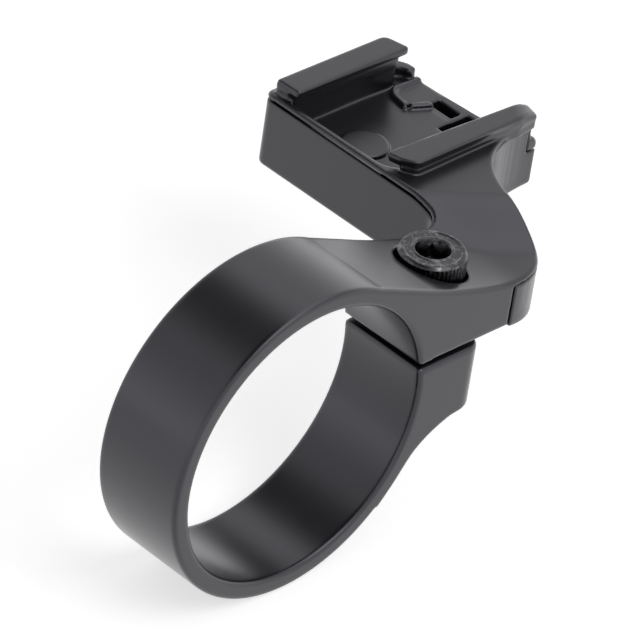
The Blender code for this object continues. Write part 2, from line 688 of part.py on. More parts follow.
def make_cover_screw(index, place, material):
    """Small pan-head screw that holds the cover from below."""
    radius = SCREW_HEAD_RADIUS
    profile = [
        (radius * 0.7, 0), (radius, SCREW_HEAD_HEIGHT * 0.4), (radius, SCREW_HEAD_HEIGHT),
        (SCREW_SHANK_RADIUS, SCREW_HEAD_HEIGHT), (SCREW_SHANK_RADIUS, SCREW_HEAD_HEIGHT + SCREW_LENGTH * 0.8),
        (SCREW_SHANK_RADIUS * 0.4, SCREW_HEAD_HEIGHT + SCREW_LENGTH),
    ]
    screw = turned("cover_screw_%d" % index, profile, 24, (0, 0), material)
    reach = radius * 0.6
    half = SCREW_CROSS / 2
    depth = SCREW_HEAD_HEIGHT * 0.6
    cut(screw, box("slot_a", (-reach, -half, -depth), (reach, half, depth)))
    cut(screw, box("slot_b", (-half, -reach, -depth), (half, reach, depth)))
    tidy(screw)
    screw.location = (place[0], place[1], COVER_BOTTOM)
    return screw


def main():
    for old in list(bpy.data.objects):
        bpy.data.objects.remove(old)
    plastic = make_material("moulded_nylon", (0.075, 0.074, 0.08), 0.42)
    steel = make_material("black_oxide_steel", (0.05, 0.05, 0.05), 0.35, 1.0)
    zinc = make_material("zinc_plated_steel", (0.45, 0.45, 0.46), 0.3, 1.0)
    make_bracket(plastic)
    make_under_cover(plastic)
    make_clamp_bolt(steel)
    make_clamp_nut(zinc)
    for index, place in enumerate(SCREW_PLACES, 1):
        make_cover_screw(index, place, steel)


main()
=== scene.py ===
"""Looks of an out-front bike computer mount: satin black mouldings and a black steel clamp bolt.

The two mouldings are drawn as distance fields in millimetres, so that every edge gets the
small radius that the tool leaves, and the fields are then skinned with fine meshes.
"""
import math

import bpy
import numpy as np
from mathutils import Matrix, Vector


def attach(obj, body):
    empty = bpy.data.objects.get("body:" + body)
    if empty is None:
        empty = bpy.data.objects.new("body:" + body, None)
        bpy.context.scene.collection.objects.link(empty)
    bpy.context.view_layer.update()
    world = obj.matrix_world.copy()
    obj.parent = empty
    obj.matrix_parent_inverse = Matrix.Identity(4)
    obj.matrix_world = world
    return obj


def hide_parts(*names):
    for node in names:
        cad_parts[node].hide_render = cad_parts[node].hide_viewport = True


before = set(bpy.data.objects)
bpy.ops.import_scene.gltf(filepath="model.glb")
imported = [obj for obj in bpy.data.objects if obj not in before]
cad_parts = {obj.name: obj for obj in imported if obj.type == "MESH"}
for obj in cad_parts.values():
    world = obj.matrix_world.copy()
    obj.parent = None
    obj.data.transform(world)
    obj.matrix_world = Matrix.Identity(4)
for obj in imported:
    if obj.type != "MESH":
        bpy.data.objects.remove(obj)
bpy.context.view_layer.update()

MM = 0.001

# Sizes and places of the mount are in millimetres, and an outline lists (x, y, corner radius)

# Radii of edges and inner corners
HAIR_EDGE = 0.05
FINE_EDGE = 0.08
SHARP_EDGE = 0.1
CRISP_EDGE = 0.15
PLAIN_EDGE = 0.2
EASED_EDGE = 0.25
SOFT_EDGE = 0.3

# How far a cutter or a joined solid passes the face it meets
OVERLAP = 1.0

# Clamp band and ears: (y, z) where a point has two numbers
BORE_RADIUS = 15.9
BORE_EDGE = 0.45
BAND_RADIUS = 17.95
BAND_EDGE = 0.4
BEHIND_BAND = -20.0
HALF_WIDTH = 5.65
SPLIT_LOW = 2.95
SPLIT_HIGH = 3.65
EAR_SLOPE = 0.4163
EAR_TANGENT = (6.879, 16.525)
EAR_FLARE_START = 15.0
EAR_FLARE = 0.0081
EAR_END = 28.25
EAR_SOFT = 2.0
LOWER_EAR_END = 25.2
LOWER_EAR_BOTTOM = -4.75
LOWER_EAR_ROOT = (12.5, -12.886)
LOWER_EAR_CURVE = ((14.6, -10.443), (16.7, -7.6), (18.4, -6.3), (21.6, -5.25))
LOWER_EAR_STEPS = 16
LOWER_EAR_FILLET = 0.6
LOWER_EAR_TOP_EDGE = 0.6
LOWER_EAR_END_EDGE = 0.9
LOWER_EAR_CORNER = 2.2

# Arm and deck
DECK_RISE = 2.5
RISE_START = 0.5
RISE_LENGTH = 10.0
RISE_SKEW = 0.75
DECK = 11.55
ARM_FILLET = 1.8
PLATE_UNDERSIDE = 6.0

# Tray
TRAY_LEFT = -32.45
TRAY_RIGHT = -12.7
TRAY_NEAR = 28.2
TRAY_FAR = 48.5
TRAY_END = 50.9
NEAR_WALL = 0.95
FLOOR = 7.95
RECESS_START = 26
RECESS_LEFT = -29.3
RECESS_RIGHT = -13.4
RECESS_FAR = 45.6
RECESS_CORNERS = (0.4, 3.0)
BEYOND_TRAY = 60
CORNER_WALL = 1.3
CORNER_WALL_TOP = 9.15
CORNER_WALL_END = -28.0
CORNER_POCKET_END = -27.5
CORNER_POCKET_RADIUS = 2.0
CORNER_POCKET_MARGIN = 0.3
FAR_WALL = 1.1
OPEN_EDGE = -28.2
OPEN_EDGE_DEPTH = 3
POST_FAR = 49.35
POST_WIDTH = 2
RIM_STEP = 1.6
END_BLOCK_TOP = 9.0
END_BLOCK_SHOULDER = (0.95, 0.1)
ARM_CURVE = ((HALF_WIDTH, 28.0), (HALF_WIDTH, 42.0), (TRAY_RIGHT, 29.2), (TRAY_RIGHT, 51.2))
ARM_STEPS = 110
TRAY_EDGE = [
    (TRAY_RIGHT, TRAY_END, 0.6), (-17.5, 49.25, 4.0), (-29.0, TRAY_FAR, 0.0),
    (TRAY_LEFT, TRAY_FAR, 2.6), (TRAY_LEFT, TRAY_NEAR, 1.2),
]

# Floor of the tray: disc, latch pad, slots and pin hole
DISC_PLACE = (-22.5, 34.1)
DISC_RADIUS = 2.7
PAD_OUTLINE = [
    (-29.0, 43.5, 2.0), (-25.2, 42.8, 0.6), (-23.7, 46.0, 0.3), (-23.7, 52.0, 0.0), (-29.0, 52.0, 0.0),
]
PAD_HEIGHT = 0.5
PAD_RIM = 0.8
PAD_DIP = 0.05
PAD_INSET = 0.1
PAD_CUT = (-24.6, 45.9)
FAR_SLOT = ((-24.6, -21.4), (46.1, 47.6))
SIDE_SLOT = ((-20.8, -19.1), (43.5, 48.1))
SLOT_BASE = 5
FEATURE_BASE = 7
PIN_HOLE = (-25.3, 43.4)
PIN_HOLE_RADIUS = 0.25

# Rails
RAIL_TOP = 13.3
RAIL_EDGE = 0.18
RAIL_NEAR = 29.0
RAIL_FAR = 45.5
LIP_BASE = 12.4
LEFT_RAIL_OUTER = TRAY_LEFT + 0.85
LEFT_LIP_END = RECESS_LEFT + 1.0
LEFT_LIP_EDGE = 0.22
LEFT_WEB = [
    (LEFT_RAIL_OUTER, RAIL_NEAR, 0.3), (RECESS_LEFT, RAIL_NEAR, 0.9),
    (RECESS_LEFT, RAIL_FAR, 0.3), (LEFT_RAIL_OUTER, RAIL_FAR, 0.3),
]
LEFT_WEB_INTO_PLATE = 0.4
LEFT_PLATE = [
    (LEFT_RAIL_OUTER, RAIL_NEAR, 0.3), (LEFT_LIP_END, RAIL_NEAR + 0.1, 0.4),
    (LEFT_LIP_END, RAIL_FAR + 0.3, 0.4), (LEFT_RAIL_OUTER, RAIL_FAR - 0.4, 1.0),
]
RIGHT_RAIL_INNER = -14.05
RIGHT_RAIL_OUTER = [(-11.5, 30.55, 1.3), (-11.75, 46.0, 3.0), (-12.2, POST_FAR, 0.4)]
RIGHT_RAIL_NOSE = [(-15.2, 28.95, 0.4), (-13.3, 29.45, 2.0)]
LEDGE_DROP = 0.15
LEDGE_WIDTH = 0.1
PLATE_DROP = 0.3
UNDERCUT = 0.3
UNDERCUT_END = 46.5
UNDERCUT_FADE = 5
BEVEL_NORMAL = (0.238, 0.397, 0.886)
BEVEL_START = (-11.8, 46.8)
BEVEL_EDGE = 0.5
HEEL_NEAR = 46.2
HEEL_TOP = 12
HEEL_SLOPE = 0.33
HEEL_BASE = 0.5
HEEL_FILLET = 0.03

# Under cover
COVER_BOTTOM = 2.75
COVER_BOTTOM_EDGE = 0.5
COVER_SWOOP = 0.55
COVER_SWOOP_START = 27
COVER_SWOOP_LENGTH = 6
COVER_SWOOP_SKEW = 0.25
COVER_WALL = 0.4
COVER_FLOOR = 1.8
COVER_NEAR_INSET = 0.2
COVER_NOTCH = (5.1, 30.6)
SEAM = 0.3
FREE_EDGE_SEAM = 0.12
FREE_EDGE_START = (-4.0, 31.0)
FREE_EDGE_MARGIN = 0.2
LIP = 0.5
SCREW_PLACES = ((-27.0, 33.5), (-15.5, 34.5), (-0.5, 32.5))
SCREW_SEAT_TOP = 3.8
SCREW_PLAY = 0.3

# Clamp bolt and its seats
BOLT_PLACE = (0.0, 21.2)
COUNTERBORE_RADIUS = 3.95
COUNTERBORE_FLOOR = 8.2
COUNTERBORE_EDGE = 0.12
BOLT_HOLE_RADIUS = 2.25
HEAD_RADIUS = 3.7
HEAD_BASE = 8.5
HEAD_HEIGHT = 4.3
HEAD_CHAMFER = 0.35
KNURLS = 48
KNURL_DEPTH = 0.17
KNURL_START = 0.35
KNURL_END = 0.4
SOCKET_FLATS = 3.0
SOCKET_DEPTH = 2.2
SOCKET_TURN = 0.8
SOCKET_EDGE = 0.06
MOUTH_WIDTH = 0.42
MOUTH_TAPER = 0.35
MOUTH_COSINE = 0.944
RING_GROOVE = (2.25, 3.0)
RING_GROOVE_DEPTH = 0.08
SHANK_RADIUS = 1.95
BOLT_LENGTH = 14.0
THREAD_LENGTH = 7.0
THREAD_PITCH = 0.7
THREAD_DEPTH = 0.28
THREAD_PLAY = 0.05
THREAD_CREST = 0.05
THREAD_FLANK = 1.15
SHANK_INTO_HEAD = 0.3

# Nut
NUT_TOP = -2.0
NUT_HEIGHT = 3.2
NUT_FLATS = 7.0
NUT_TURNED_RADIUS = 3.75
NUT_TURNED_SLOPE = (0.5, 0.866)
NUT_THREAD_DEPTH = 0.15
NUT_THREAD_PLAY = 0.3
NUT_POCKET_PLAY = 0.4
NUT_POCKET_HEADROOM = 0.2

# Cover screws, head down
SCREW_HEAD_RADIUS = 1.5
SCREW_HEAD_START = 0.02
SCREW_HEAD_HEIGHT = 0.8
SCREW_LENGTH = 3.6
SCREW_SHANK = 0.7
SCREW_SHANK_START = 0.3
SCREW_THREAD_DEPTH = 0.1
SCREW_PITCH = 0.5
SCREW_POINT_SLOPE = 0.7
SCREW_POINT_COSINE = 0.82
SCREW_POINT_RADIUS = 0.15
CROSS_HALF_WIDTH = 0.2
CROSS_HALF_LENGTH = 0.9
CROSS_DEPTH = 0.5

# Sample boxes of the pieces: low and high corner, or reach from the axis, bottom and top
BRACKET_BOX = ((-33.2, -18.5, -18.5), (6.2, 51.6, 18.5))
COVER_BOX = ((-33.2, 25.8, 2.0), (6.2, 51.6, 11.8))
BOLT_BOX = (3.9, -5.9, 12.9)
NUT_BOX = (4.3, NUT_TOP - NUT_HEIGHT - 0.4, NUT_TOP + 0.4)
SCREW_BOX = (1.9, COVER_BOTTOM - 0.3, 7.6)

STEP, QUICK_STEP = 0.2, 0.4
FINE_STEP, QUICK_FINE_STEP = 0.08, 0.15
PULLS = 3
LONGEST_PULL = 0.5
TINY = 1e-9

# Most triangles of each piece
BRACKET_FACES = 180000
COVER_FACES = 100000
BOLT_FACES = 90000
NUT_FACES = 24000
SCREW_FACES = 12000

# Floor, in metres, and how bright it is to the camera and in reflections
FLOOR_REACH = 3.0
FLOOR_GAP = 0.0002
FLOOR_GLOW = 0.62
FLOOR_MIRRORED = 0.98

# White surroundings: as a fill, and mirrored at (height, brightness) with a dark side of the ceiling
WORLD_FILL = 0.35
WALLS_MIRRORED = ((0.0, 2.3), (0.45, 1.25), (0.6, 1.08), (0.85, 2.3))
BRIGHTEST_WALL = 2.4
CEILING_EDGE = (0.66, 0.82)
CEILING_DARK_WAY = (-0.7, -1.0, 1.0)
CEILING_DARK_EDGE = (0.75, 1.15)

# Key light, in metres and watts
KEY_PLACE = (0.45, 0.05, 0.5)
KEY_TARGET = (0, 0.02, 0)
KEY_SIZE = (0.4, 0.4)
KEY_POWER = 1.2

# Camera: place in metres, its own three directions, and the lens in millimetres
CAMERA_PLACE = (0.323362, -0.365415, 0.346469)
CAMERA_RIGHT = (0.688, 0.7146, 0.1267)
CAMERA_UP = (-0.4822, 0.3196, 0.8157)
CAMERA_BACK = (0.5424, -0.6223, 0.5644)
SENSOR_WIDTH = 36
LENS = 333.84
NEAREST_SEEN = 0.05


def linear(hex_colour):
    """Linear colour of an sRGB hex value."""
    parts = [int(hex_colour[i:i + 2], 16) / 255 for i in (1, 3, 5)]
    return tuple(c / 12.92 if c <= 0.04045 else ((c + 0.055) / 1.055) ** 2.4 for c in parts) + (1.0,)


# Distance fields: negative inside, in millimetres

def meet(a, b, edge=0.0):
    """Where two shapes overlap, with the outer edge between them rounded."""
    if edge == 0.0:
        return np.maximum(a, b)
    u = np.maximum(a + edge, 0)
    v = np.maximum(b + edge, 0)
    return np.minimum(np.maximum(a, b), -edge) + np.sqrt(u * u + v * v)


def blend(a, b, fillet=0.0):
    """Two shapes as one, with the inner corner between them filled."""
    return -meet(-a, -b, fillet)


def carve(a, b, edge=0.0):
    """The first shape without the second, with the rim of the cut rounded."""
    return meet(a, -b, edge)


def outline_distance(outline, x, y):
    """Distance from points of a plane to a closed outline."""
    x, y = np.broadcast_arrays(x, y)
    nearest = np.full(x.shape, np.inf)
    inside = np.zeros(x.shape, bool)
    for (ax, ay), (bx, by) in zip(outline, outline[1:] + outline[:1]):
        ex, ey = bx - ax, by - ay
        if ex == 0 and ey == 0:
            continue
        wx, wy = x - ax, y - ay
        t = np.clip((wx * ex + wy * ey) / (ex * ex + ey * ey), 0, 1)
        nearest = np.minimum(nearest, (wx - ex * t) ** 2 + (wy - ey * t) ** 2)
        if ey != 0:
            inside ^= ((ay > y) != (by > y)) & (wx < ex * wy / ey)
    return np.where(inside, -1.0, 1.0) * np.sqrt(nearest)


def slab(v, low, high):
    """Distance to the layer between two parallel planes."""
    return np.abs(v - (low + high) / 2) - (high - low) / 2


def rounded(corners, steps=10):
    """Outline through (x, y, radius) corners, each radius drawn as an arc."""
    outline = []
    count = len(corners)
    for i, (x, y, radius) in enumerate(corners):
        here = Vector((x, y))
        if radius <= 0:
            outline.append((x, y))
            continue
        back = (Vector(corners[i - 1][:2]) - here).normalized()
        ahead = (Vector(corners[(i + 1) % count][:2]) - here).normalized()
        half = math.acos(max(-1.0, min(1.0, back.dot(ahead)))) / 2
        centre = here + (back + ahead).normalized() * (radius / math.sin(half))
        reach = radius / math.tan(half)
        start = here + back * reach - centre
        end = here + ahead * reach - centre
        turn = math.atan2(start.x * end.y - start.y * end.x, start.dot(end))
        for k in range(steps + 1):
            c, s = math.cos(turn * k / steps), math.sin(turn * k / steps)
            outline.append((centre.x + start.x * c - start.y * s, centre.y + start.x * s + start.y * c))
    return outline


def curve(p0, p1, p2, p3, steps):
    """Points of a cubic Bezier curve."""
    points = []
    for k in range(steps + 1):
        t = k / steps
        s = 1 - t
        weights = (s ** 3, 3 * s * s * t, 3 * s * t * t, t ** 3)
        points.append(tuple(sum(w * p[i] for w, p in zip(weights, (p0, p1, p2, p3))) for i in (0, 1)))
    return points


def body_plan():
    """Plan outline of the band, the upper ear, the arm and the tray."""
    corners = [(-HALF_WIDTH, BEHIND_BAND, 0.0), (HALF_WIDTH, BEHIND_BAND, 0.0)]
    corners += [(x, y, 0.0) for x, y in curve(*ARM_CURVE, ARM_STEPS)[:-1]]
    return rounded(corners + TRAY_EDGE + [(-HALF_WIDTH, TRAY_NEAR, ARM_FILLET)])


class Block:
    """A box of sample points, and the heights that the mouldings share there."""

    def __init__(self, low, high, step):
        self.low = np.array(low, float)
        self.step = step
        axes = [np.arange(a, b + step, step, dtype=np.float32) for a, b in zip(low, high)]
        self.x = axes[0][:, None, None]
        self.y = axes[1][None, :, None]
        self.z = axes[2][None, None, :]
        self.rho = np.sqrt(self.y ** 2 + self.z ** 2)
        self.top, self.lean = top_height(self.x, self.y)
        self.body = self.plan(body_plan())
        self.tub = np.maximum(self.body, EAR_END + SEAM - self.y)

    def plan(self, outline):
        """Distance to a wall of endless height on an outline."""
        return outline_distance(outline, self.x, self.y).astype(np.float32)

    def round_hole(self, place, radius):
        """Distance to an endless upright cylinder."""
        return np.sqrt((self.x - place[0]) ** 2 + (self.y - place[1]) ** 2) - radius

    def hexagon(self, place, flats, turn=0.0):
        """Distance to an endless upright hexagonal bar of a width across its flats."""
        u, v = self.x - place[0], self.y - place[1]
        angles = [turn + math.pi * k / 3 for k in range(3)]
        sides = [np.abs(u * math.cos(a) + v * math.sin(a)) for a in angles]
        return np.maximum(np.maximum(sides[0], sides[1]), sides[2]) - flats / 2


def top_height(x, y):
    """Height of the top surface, and the cosine of its slope."""
    over = y - EAR_END
    eased = np.where(over < -EAR_SOFT, y, y - (over + EAR_SOFT) ** 2 / (4 * EAR_SOFT))
    on_ear = np.where(over > EAR_SOFT, EAR_END, eased)
    share = np.clip((EAR_SOFT - over) / (2 * EAR_SOFT), 0, 1)
    flare = np.maximum(0, on_ear - EAR_FLARE_START)
    ear = EAR_TANGENT[1] - EAR_SLOPE * (on_ear - EAR_TANGENT[0]) + EAR_FLARE * flare ** 2
    t = np.clip((RISE_SKEW * (y - EAR_END) - x - RISE_START) / RISE_LENGTH, 0, 1)
    top = ear + DECK_RISE * t * t * (3 - 2 * t)
    ramp = DECK_RISE * 6 * t * (1 - t) / RISE_LENGTH
    steep_y = share * (2 * EAR_FLARE * flare - EAR_SLOPE) + RISE_SKEW * ramp
    return top, 1 / np.sqrt(1 + ramp ** 2 + steep_y ** 2)


def clamp_and_arm(b):
    """Split band, both ears and the solid arm."""
    ring = b.rho - BAND_RADIUS
    slope = np.maximum(np.maximum((b.z - b.top) * b.lean, EAR_TANGENT[0] - b.y), SPLIT_HIGH - b.z)
    upper = meet(np.minimum(ring, slope), b.body, BAND_EDGE)
    upper = carve(upper, np.maximum(-b.y, b.z - SPLIT_HIGH), EASED_EDGE)
    return carve(np.minimum(upper, lower_ear(b, ring)), b.rho - BORE_RADIUS, BORE_EDGE)


def lower_ear(b, ring):
    """The band's lower half with the ear that takes the nut."""
    above = SPLIT_LOW + 3 * OVERLAP
    sweep = [(y, z, 0.0) for y, z in curve(*LOWER_EAR_CURVE, LOWER_EAR_STEPS)]
    profile = rounded([
        (*LOWER_EAR_ROOT, 0.0), *sweep, (LOWER_EAR_END, LOWER_EAR_BOTTOM, LOWER_EAR_END_EDGE),
        (LOWER_EAR_END, above, 0.0), (LOWER_EAR_ROOT[0], above, 0.0),
    ])
    side = outline_distance(profile, b.y, b.z).astype(np.float32)
    plan = b.plan(rounded([
        (-HALF_WIDTH, BEHIND_BAND, 0.0), (HALF_WIDTH, BEHIND_BAND, 0.0),
        (HALF_WIDTH, LOWER_EAR_END, LOWER_EAR_CORNER), (-HALF_WIDTH, LOWER_EAR_END, LOWER_EAR_CORNER),
    ]))
    ear = meet(blend(ring, side, LOWER_EAR_FILLET), plan, BAND_EDGE)
    return meet(ear, b.z - SPLIT_LOW, LOWER_EAR_TOP_EDGE)


def cover_room(b):
    """Space that the under cover fills, round the plug and below the lip."""
    inset = COVER_WALL + SEAM
    plug = b.tub + inset
    neck = np.maximum(np.abs(b.x) - (HALF_WIDTH - inset), slab(b.y, EAR_END - OVERLAP, EAR_END + 2 * inset))
    beside_ear = np.maximum(-HALF_WIDTH - b.x, b.y - EAR_END)
    room = np.maximum(np.maximum(-np.minimum(plug, neck), -beside_ear), TRAY_NEAR - ARM_FILLET - SEAM - b.y)
    return meet(room, b.z - rim_height(b) + LIP)


def rim_height(b):
    """Top of the tray's outer wall, which drops to the floor beyond the rails."""
    far = np.where(b.x < RECESS_RIGHT - RIM_STEP, b.y - RAIL_FAR, b.y - POST_FAR)
    return np.where(far > -LIP, FLOOR, b.top)


def bracket_field(b):
    """The main moulding: clamp, arm and railed tray."""
    body = clamp_and_arm(b)
    body = carve(body, np.maximum(EAR_END - b.y, b.z - PLATE_UNDERSIDE), CRISP_EDGE)
    body = carve(body, cover_room(b), SHARP_EDGE)
    near = TRAY_NEAR + NEAR_WALL
    recess = b.plan(rounded([
        (RECESS_LEFT, near, RECESS_CORNERS[0]), (RECESS_RIGHT, near, RECESS_CORNERS[1]),
        (RECESS_RIGHT, RECESS_FAR, 0.0), (RECESS_RIGHT - OVERLAP, RECESS_FAR, 0.0),
        (RECESS_RIGHT - OVERLAP, BEYOND_TRAY, 0.0), (RECESS_LEFT, BEYOND_TRAY, 0.0),
    ]))
    hollow = carve(body, meet(recess, FLOOR - b.z, SOFT_EDGE), EASED_EDGE)
    body = np.where(b.y > RECESS_START, hollow, body)
    body = far_steps(b, body)
    body = right_rail(b, left_rail(b, body))
    return bolt_seats(b, floor_features(b, body))


def far_steps(b, body):
    """Cut the far corners down, and leave the curved corner wall, the post and the end block."""
    left = np.maximum(np.maximum(RAIL_FAR - b.y, CORNER_WALL_TOP - b.z), b.x - CORNER_WALL_END)
    body = carve(body, left, PLAIN_EDGE)
    wall = TRAY_LEFT + CORNER_WALL
    near = RAIL_FAR - CORNER_POCKET_MARGIN
    far = TRAY_FAR - FAR_WALL
    pocket = b.plan(rounded([
        (wall, near, 0.0), (CORNER_POCKET_END, near, 0.0),
        (CORNER_POCKET_END, far, 0.0), (wall, far, CORNER_POCKET_RADIUS),
    ]))
    body = carve(body, meet(pocket, FLOOR - b.z, SOFT_EDGE), PLAIN_EDGE)
    opening = np.maximum(TRAY_FAR - OPEN_EDGE_DEPTH - b.y, FLOOR - b.z)
    body = carve(body, np.maximum(opening, slab(b.x, OPEN_EDGE, RECESS_RIGHT - OVERLAP)), CRISP_EDGE)
    right = RECESS_RIGHT - POST_WIDTH - b.x
    past_post = np.maximum(np.maximum(POST_FAR - b.y, END_BLOCK_TOP - b.z), right)
    body = carve(body, past_post, EASED_EDGE)
    back, down = END_BLOCK_SHOULDER
    shoulder = ((b.y - TRAY_END + back) + (b.z - END_BLOCK_TOP + down)) * math.sqrt(0.5)
    return carve(body, np.maximum(np.maximum(-shoulder, POST_FAR - b.y), right), SOFT_EDGE)


def left_rail(b, body):
    """Rail on the tray's left side, whose lip hangs over the recess."""
    web_heights = slab(b.z, DECK - OVERLAP, LIP_BASE + LEFT_WEB_INTO_PLATE)
    web = meet(b.plan(rounded(LEFT_WEB)), web_heights, SHARP_EDGE)
    plate = meet(b.plan(rounded(LEFT_PLATE)), slab(b.z, LIP_BASE, RAIL_TOP), LEFT_LIP_EDGE)
    return blend(blend(body, web, EASED_EDGE), plate, PLAIN_EDGE)


def right_rail(b, body):
    """Rail between tray and arm: undercut face, rounded nose, and a far end bevelled down to a post."""
    plan = b.plan(rounded(RIGHT_RAIL_NOSE + RIGHT_RAIL_OUTER + [(RIGHT_RAIL_INNER, POST_FAR, 0.4)]))
    slope_x, slope_y, slope_z = BEVEL_NORMAL
    bevel = slope_x * (b.x - BEVEL_START[0]) + slope_y * (b.y - BEVEL_START[1]) + slope_z * (b.z - RAIL_TOP)
    undercut = UNDERCUT * np.clip((UNDERCUT_END - b.y) / UNDERCUT_FADE, 0, 1)
    ledge = LIP_BASE - LEDGE_DROP
    foot = np.maximum(plan + LEDGE_WIDTH + undercut * (ledge - b.z), RECESS_RIGHT - b.x)
    foot = meet(foot, slab(b.z, DECK - OVERLAP, ledge), FINE_EDGE)
    body = blend(body, foot, CRISP_EDGE)
    plate = meet(plan + undercut * (RAIL_TOP - b.z), slab(b.z, LIP_BASE - PLATE_DROP, RAIL_TOP), RAIL_EDGE)
    heel = np.maximum(plan + HEEL_SLOPE * np.maximum(0, HEEL_TOP - b.z), slab(b.y, HEEL_NEAR, POST_FAR))
    heel = meet(heel, slab(b.z, END_BLOCK_TOP - HEEL_BASE, RAIL_TOP), RAIL_EDGE)
    rail = meet(np.minimum(plate, heel), bevel, BEVEL_EDGE)
    return blend(body, rail, HEEL_FILLET)


def floor_features(b, body):
    """Raised disc, latch pad with its rim, slots and pin hole of the tray's floor."""
    raised = slab(b.z, FEATURE_BASE, FLOOR + PAD_HEIGHT)
    disc = meet(b.round_hole(DISC_PLACE, DISC_RADIUS), raised, CRISP_EDGE)
    outline = b.plan(rounded(PAD_OUTLINE))
    pad = meet(np.maximum(outline, b.y - TRAY_FAR + PAD_INSET), raised, PLAIN_EDGE)
    pad = carve(pad, meet(outline + PAD_RIM, FLOOR + PAD_DIP - b.z, PLAIN_EDGE), CRISP_EDGE)
    pad = carve(pad, np.maximum(PAD_CUT[0] - b.x, PAD_CUT[1] - b.y), SHARP_EDGE)
    body = blend(body, np.minimum(disc, pad), SHARP_EDGE)
    far_slot, side_slot = (np.maximum(slab(b.x, *x), slab(b.y, *y)) for x, y in (FAR_SLOT, SIDE_SLOT))
    slots = np.maximum(np.minimum(far_slot, side_slot), SLOT_BASE - b.z)
    pin = np.maximum(b.round_hole(PIN_HOLE, PIN_HOLE_RADIUS), FEATURE_BASE - b.z)
    return carve(body, np.minimum(slots, pin), SHARP_EDGE)


def bolt_seats(b, body):
    """Counterbore and bore for the clamp bolt, and the nut's pocket."""
    counterbore = meet(b.round_hole(BOLT_PLACE, COUNTERBORE_RADIUS), COUNTERBORE_FLOOR - b.z, PLAIN_EDGE)
    body = carve(body, counterbore, COUNTERBORE_EDGE)
    body = carve(body, b.round_hole(BOLT_PLACE, BOLT_HOLE_RADIUS), CRISP_EDGE)
    pocket = b.hexagon(BOLT_PLACE, NUT_FLATS + NUT_POCKET_PLAY, math.pi / 2)
    return carve(body, np.maximum(pocket, b.z - NUT_TOP - NUT_POCKET_HEADROOM), CRISP_EDGE)


def cover_field(b):
    """The tub below the arm and the tray."""
    ear = np.maximum(-HALF_WIDTH - SEAM - b.x, b.y - EAR_END - SEAM)
    outer = np.maximum(np.maximum(b.body, -ear), TRAY_NEAR - ARM_FILLET + COVER_NEAR_INSET - b.y)
    t = np.clip((b.y - COVER_SWOOP_SKEW * b.x - COVER_SWOOP_START) / COVER_SWOOP_LENGTH, 0, 1)
    bottom = COVER_BOTTOM + COVER_SWOOP * (1 - t) ** 2
    beside_arm = (b.x > TRAY_RIGHT - FREE_EDGE_MARGIN) & (b.y > FREE_EDGE_START[1])
    gap = np.where((b.x > FREE_EDGE_START[0]) | beside_arm, FREE_EDGE_SEAM, SEAM)
    cover = meet(outer, b.z - rim_height(b) + LIP + gap, SHARP_EDGE)
    cover = meet(cover, bottom - b.z, COVER_BOTTOM_EDGE)
    cover = carve(cover, meet(b.tub + COVER_WALL, bottom + COVER_FLOOR - b.z, PLAIN_EDGE), SHARP_EDGE)
    notch = np.maximum(np.abs(b.x) - COVER_NOTCH[0], b.y - COVER_NOTCH[1])
    cover = carve(cover, np.maximum(notch, PLATE_UNDERSIDE - SEAM - b.z), SHARP_EDGE)
    for place in SCREW_PLACES:
        seat = b.round_hole(place, SCREW_HEAD_RADIUS + SCREW_PLAY)
        cover = carve(cover, np.maximum(seat, b.z - SCREW_SEAT_TOP), SHARP_EDGE)
        cover = carve(cover, b.round_hole(place, SCREW_SHANK + SCREW_PLAY), HAIR_EDGE)
    return cover


def zigzag(v):
    """Straight-sided wave between 0 and 1 with a period of 1."""
    return np.abs((v % 1.0) * 2 - 1)


def helix(turn, z, radius):
    """Radius of a screw thread: a ridge with straight flanks that climbs one pitch a turn."""
    phase = np.abs(((z / THREAD_PITCH - turn) % 1.0) - 0.5) * 2
    return radius - THREAD_DEPTH * np.clip(phase * THREAD_FLANK - THREAD_CREST, 0, 1)


def bolt_field(b):
    """Socket-head cap screw: knurled head with a ringed top, hexagon socket and thread."""
    rho = b.round_hole(BOLT_PLACE, 0.0)
    turn = np.arctan2(b.y - BOLT_PLACE[1], b.x - BOLT_PLACE[0])
    z = b.z - HEAD_BASE
    ridge = KNURL_DEPTH * zigzag(turn * KNURLS / math.tau)
    knurl = np.where((z > KNURL_START) & (z < HEAD_HEIGHT - KNURL_END), ridge, 0.0)
    head = meet(rho - HEAD_RADIUS + knurl, slab(z, 0.0, HEAD_HEIGHT), SHARP_EDGE)
    chamfer = (rho + z - HEAD_RADIUS - HEAD_HEIGHT + HEAD_CHAMFER) * math.sqrt(0.5)
    head = meet(head, chamfer, FINE_EDGE)
    socket = np.maximum(b.hexagon(BOLT_PLACE, SOCKET_FLATS, SOCKET_TURN), HEAD_HEIGHT - SOCKET_DEPTH - z)
    mouth = (rho - SOCKET_FLATS * 0.5 - MOUTH_WIDTH - MOUTH_TAPER * (z - HEAD_HEIGHT)) * MOUTH_COSINE
    head = carve(head, np.minimum(socket, mouth), SOCKET_EDGE)
    groove = np.maximum(slab(rho, *RING_GROOVE), HEAD_HEIGHT - RING_GROOVE_DEPTH - z)
    head = carve(head, groove, FINE_EDGE)
    threaded = z < -(BOLT_LENGTH - THREAD_LENGTH)
    radius = np.where(threaded, helix(turn / math.tau, z, SHANK_RADIUS - THREAD_PLAY), SHANK_RADIUS)
    shank = meet(np.maximum(rho - radius, z - SHANK_INTO_HEAD), -BOLT_LENGTH - z, EASED_EDGE)
    return blend(head, shank, PLAIN_EDGE)


